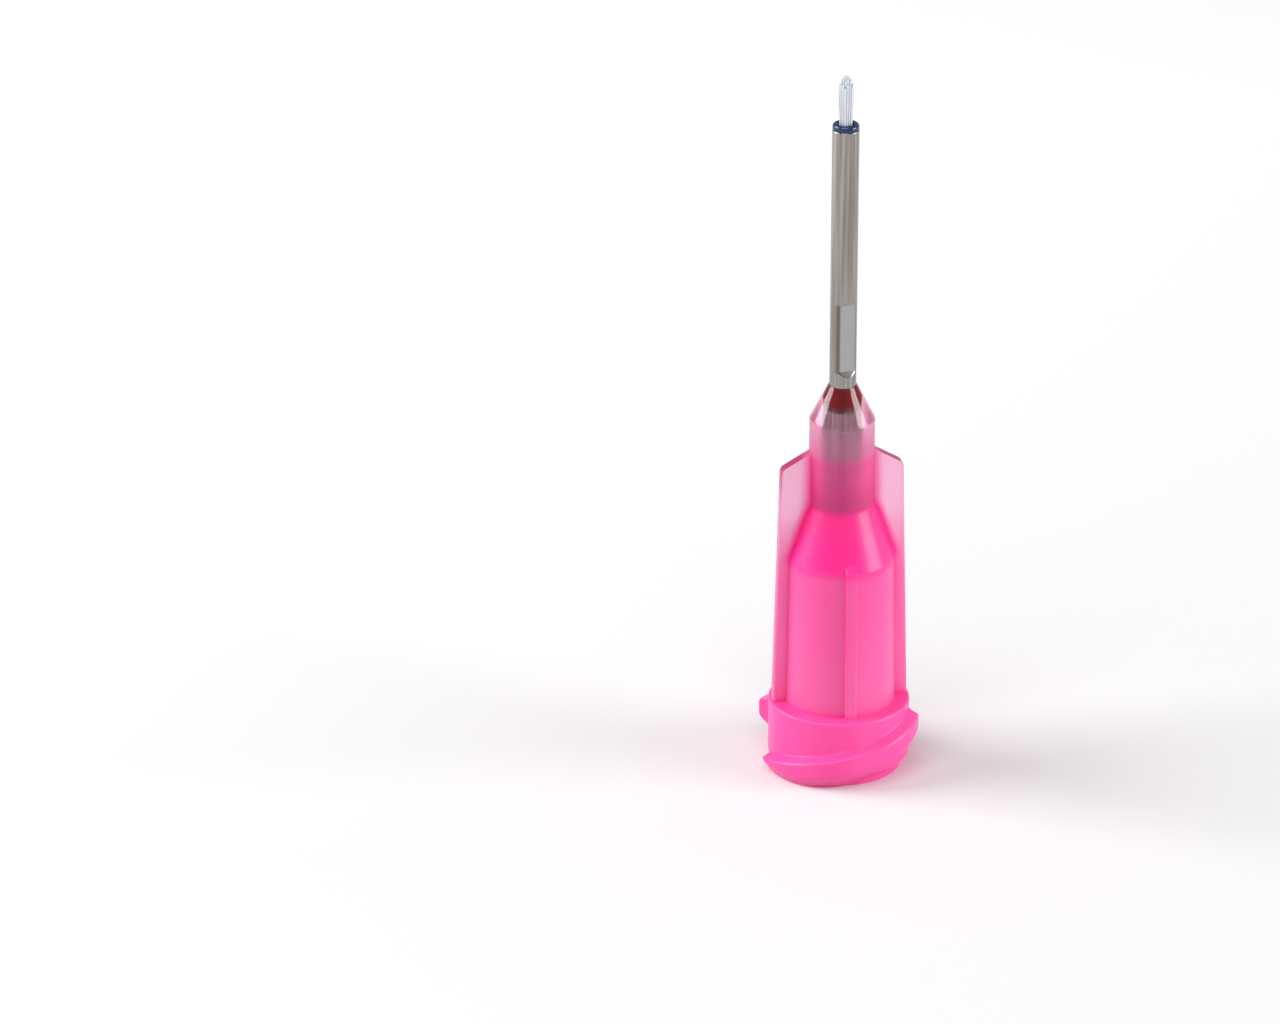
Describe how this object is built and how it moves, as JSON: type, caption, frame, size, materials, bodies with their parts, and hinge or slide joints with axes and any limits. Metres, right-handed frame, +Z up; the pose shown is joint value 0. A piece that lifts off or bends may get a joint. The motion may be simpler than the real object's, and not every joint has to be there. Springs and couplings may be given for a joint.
{
  "type": "brush-ended dispensing tip",
  "caption": "Moulded pink hub with a conical lock socket and side wings, carrying a crimped steel tube whose mouth holds a bundle of fine bristles for brushing on dispensed liquid.",
  "frame": {"origin": "centre of the socket's rim, on the plane that the tip stands on", "axes": "+Z up along the tube towards the bristles, X along the two wings, Y along the two ribs"},
  "size_m": [0.0078, 0.0078, 0.0347],
  "materials": {
    "hub_plastic": "satin",
    "tube_steel": "satin",
    "sleeve_plastic": "satin",
    "bristle_nylon": "satin"
  },
  "bodies": {
    "root": {"bristle_01": "bristle_nylon", "bristle_02": "bristle_nylon", "bristle_03": "bristle_nylon", "bristle_04": "bristle_nylon", "bristle_05": "bristle_nylon", "bristle_06": "bristle_nylon", "bristle_07": "bristle_nylon", "bristle_08": "bristle_nylon", "bristle_09": "bristle_nylon", "bristle_10": "bristle_nylon", "bristle_11": "bristle_nylon", "bristle_12": "bristle_nylon", "bristle_13": "bristle_nylon", "bristle_14": "bristle_nylon", "bristle_15": "bristle_nylon", "bristle_16": "bristle_nylon", "bristle_17": "bristle_nylon", "bristle_18": "bristle_nylon", "bristle_19": "bristle_nylon", "bristle_20": "bristle_nylon", "bristle_21": "bristle_nylon", "bristle_22": "bristle_nylon", "bristle_23": "bristle_nylon", "bristle_24": "bristle_nylon", "bristle_25": "bristle_nylon", "bristle_26": "bristle_nylon", "bristle_27": "bristle_nylon", "bristle_28": "bristle_nylon", "bristle_29": "bristle_nylon", "bristle_30": "bristle_nylon", "bristle_31": "bristle_nylon", "bristle_32": "bristle_nylon", "bristle_33": "bristle_nylon", "bristle_34": "bristle_nylon", "bristle_35": "bristle_nylon", "bristle_36": "bristle_nylon", "bristle_37": "bristle_nylon", "bristle_sleeve": "sleeve_plastic", "hub": "hub_plastic", "tube": "tube_steel"}
  },
  "joints": []
}
